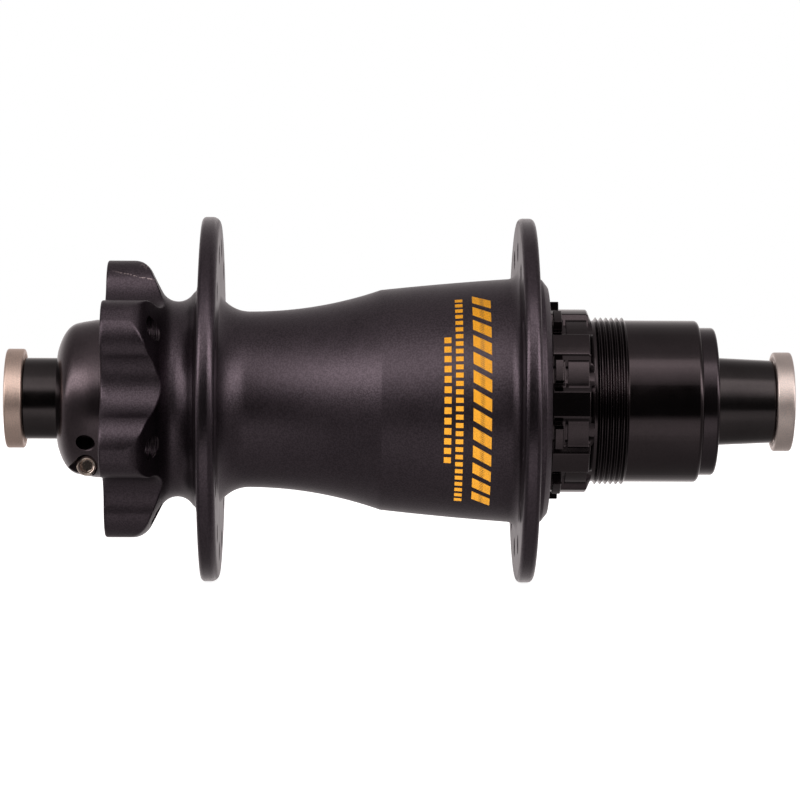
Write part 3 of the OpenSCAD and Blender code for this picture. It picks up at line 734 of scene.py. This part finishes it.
def clamp_screw():
    """A socket-head screw across the slit; its head has a round rim and looks to the rear of the hub."""
    head_r, seat, face, tip, rim = 1.9, 3.4, 5.95, -5.9, 0.36
    profile = [(1.0, tip), (1.25, tip + 0.25), (1.25, seat), (head_r - 0.1, seat), (head_r, seat + 0.1)]
    profile += arc(head_r - rim, face - rim, rim, 0, 178, 16)
    screw = bar(profile, SCREW_LINE, 64)
    screw.name = screw.data.name = "screw"
    socket = bar([(1.155, face - 2.1), (1.155, face + 0.5)], SCREW_LINE, 6)
    stand_in(cut(screw, [socket]), "clamp_screw")


for node, obj in frame["nodes"].items():
    paint(obj, MATERIALS[slot_of(node)])

hub_shell()
driver_body()
driver_end_ring()
axle()
end_cap("disc_cap", "disc_end_cap", 1)
end_cap("drive_cap", "drive_end_cap", -1)
preload_collar()
clamp_screw()


# ---- marks round the barrel ----

def slab(angle_low, angle_high, y_low, y_high, lean, n=6):
    """Corners of a thin printed patch on the barrel, closed all round; lean shifts its outboard side."""
    lift, sink = 0.03, -0.03
    co = []
    for h in (sink, lift):
        for t in np.linspace(0, 1, n + 1):
            for e, y in ((0, y_low), (lean, y_high)):
                angle = angle_low + (angle_high - angle_low) * t + e
                co.append(Vector(spot(barrel_radius(y) + h, angle, y)) * MM)
    m = 2 * (n + 1)
    faces = []
    for i in range(n):
        a = 2 * i
        faces += [(a, a + 1, a + 3, a + 2), (m + a, m + a + 2, m + a + 3, m + a + 1),
                  (a, a + 2, m + a + 2, m + a), (a + 1, m + a + 1, m + a + 3, a + 3)]
    faces += [(0, m, m + 1, 1), (2 * n, 2 * n + 1, m + 2 * n + 1, m + 2 * n)]
    return co, faces


# count, pitch and width in degrees, lower and upper station, and lean in degrees
MARK_ROWS = [(13, 9.0, 6.0, -16.6, -13.2, 5.0), (29, 4.0, 2.4, -11.4, -10.0, 0.0),
             (13, 5.0, 3.2, -9.2, -7.9, 0.0)]


def barrel_marks():
    """Three plain rows of bars and dashes, where the real barrel is printed."""
    co, faces = [], []
    for count, pitch, width, y_low, y_high, lean in MARK_ROWS:
        for k in range(count):
            middle = (k - (count - 1) / 2) * pitch - lean / 2
            more_co, more_faces = slab(middle - width / 2, middle + width / 2, y_low, y_high, lean)
            faces += [tuple(i + len(co) for i in f) for f in more_faces]
            co += more_co
    mesh = bpy.data.meshes.new("barrel_marks")
    mesh.from_pydata(co, [], outward_list(co, faces))
    marks = linked("barrel_marks", mesh)
    paint(marks, GOLD_PAINT)
    marks.visible_glossy = False
    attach(marks, "hub_shell")


def outward_list(co, faces):
    return [tuple(f) for f in outward(np.array([list(c) for c in co]), np.array(faces))]


barrel_marks()

# ---- camera, floor and light ----

camera = bpy.data.objects.new("camera", bpy.data.cameras.new("camera"))
bpy.context.scene.collection.objects.link(camera)
camera.data.sensor_width = 36
camera.data.lens = 157
camera.data.clip_start, camera.data.clip_end = 0.01, 50
camera.location = (-0.660, 0.0112, 0)
YAW, ROLL = -90.983, 0.27
camera.rotation_euler = (Matrix.Rotation(math.radians(YAW), 3, "Z") @ Matrix.Rotation(math.pi / 2, 3, "X")
                         @ Matrix.Rotation(math.radians(ROLL), 3, "Z")).to_euler()
bpy.context.scene.camera = camera


def floor():
    """A white sheet under the flanges, lit so that it runs into the white behind it."""
    half = 6.0
    z = -FLANGE_R * MM - 0.00005
    mesh = bpy.data.meshes.new("floor")
    corners = [(-half, -half, z), (half, -half, z), (half, half, z), (-half, half, z)]
    mesh.from_pydata(corners, [], [(0, 1, 2, 3)])
    plane = linked("floor", mesh)
    s = Surface("floor_pale")
    s.shader.inputs["Specular IOR Level"].default_value = 0.0
    s.shader.inputs["Roughness"].default_value = 0.9
    s.shader.inputs["Emission Color"].default_value = (1, 1, 1, 1)
    s.shader.inputs["Emission Strength"].default_value = 0.9
    pale = s.blend(s.noise(120, 2), (0.84, 0.84, 0.84, 1), (0.88, 0.88, 0.88, 1))
    s.link(pale, s.shader.inputs["Base Color"])
    paint(plane, s.material)
    plane.visible_glossy = False
    plane.visible_shadow = False


# How bright the studio is at each angle of elevation round the hub, from 0 at the camera's side over
# 90 above to 180 behind: dark at the camera, a softbox above it, white behind.
LEFT = [(-180, 0.9), (-165, 0.8), (-150, 0.42), (-125, 0.2), (-90, 0.24), (-60, 0.33), (-45, 0.5),
        (-33, 0.6), (-27, 0.02), (17, 0.02), (25, 0.8), (34, 1.16), (44, 0.72), (60, 0.5), (75, 0.4),
        (110, 0.28), (135, 0.38), (150, 0.5), (165, 0.8), (180, 0.9)]
RIGHT = [(-180, 0.9), (-165, 0.8), (-150, 0.42), (-125, 0.2), (-90, 0.24), (-60, 0.33), (-42, 0.57),
         (-28, 0.48), (-22, 0.02), (21, 0.02), (27, 0.36), (37, 0.72), (53, 1.52), (60, 1.25),
         (66, 0.4), (90, 0.3), (110, 0.26), (135, 0.38), (150, 0.5), (165, 0.8), (180, 0.9)]
SIDES = [(-180, 0.8), (-150, 0.4), (-90, 0.18), (-60, 0.2), (-30, 0.16), (-5, 0.14), (10, 0.45),
         (20, 2.3), (36, 2.9), (48, 1.2), (60, 0.4), (90, 0.2), (150, 0.4), (180, 0.8)]


def level_ramp(world, angle, stops):
    """The brightness at this angle, from stops of (degrees, level)."""
    most = max(level for _, level in stops)
    node = world.add("ValToRGB", {"Fac": angle})
    elements = node.color_ramp.elements
    while len(elements) < len(stops):
        elements.new(0.5)
    for element, (degrees, level) in zip(elements, stops):
        element.position = (degrees + 180) / 360
        element.color = (level / most,) * 3 + (1,)
    return world.times(node.outputs["Color"], most)


def fade(world, value, low, high, before, after):
    """Goes over from one level to another while value runs from low to high."""
    share = world.add("MapRange", {"Value": value, "From Min": low, "From Max": high},
                      interpolation_type="SMOOTHSTEP").outputs[0]
    return world.add("Mix", {0: share, 2: before, 3: after}).outputs[0]


def surroundings():
    """A studio that lights the hub by elevation, seen by the camera as plain white."""
    studio = bpy.data.worlds.new("studio")
    bpy.context.scene.world = studio
    world = Shading(studio)
    way = world.add("SeparateXYZ", {0: world.add("TexCoord").outputs["Generated"]}).outputs
    angle = world.add("Math", {0: way["Z"], 1: world.times(way["X"], -1.0)}, operation="ARCTAN2").outputs[0]
    angle = world.add("MapRange", {"Value": angle, "From Min": -math.pi, "From Max": math.pi}).outputs[0]
    right, left = level_ramp(world, angle, RIGHT), level_ramp(world, angle, LEFT)
    across = fade(world, way["Y"], 0.01, 0.1, right, left)
    aside = world.add("Math", {0: way["Y"]}, operation="ABSOLUTE").outputs[0]
    level = fade(world, aside, 0.14, 0.38, across, level_ramp(world, angle, SIDES))
    lit = world.add("Background", {"Color": (1.05, 0.98, 0.97, 1), "Strength": level})
    plain = world.add("Background", {"Color": (1, 1, 1, 1)})
    seen = world.add("LightPath").outputs["Is Camera Ray"]
    both = world.add("MixShader", {0: seen, 1: lit.outputs[0], 2: plain.outputs[0]})
    world.link(both.outputs[0], world.add("OutputWorld").inputs["Surface"])


floor()
surroundings()
bpy.context.scene.view_settings.view_transform = "Standard"
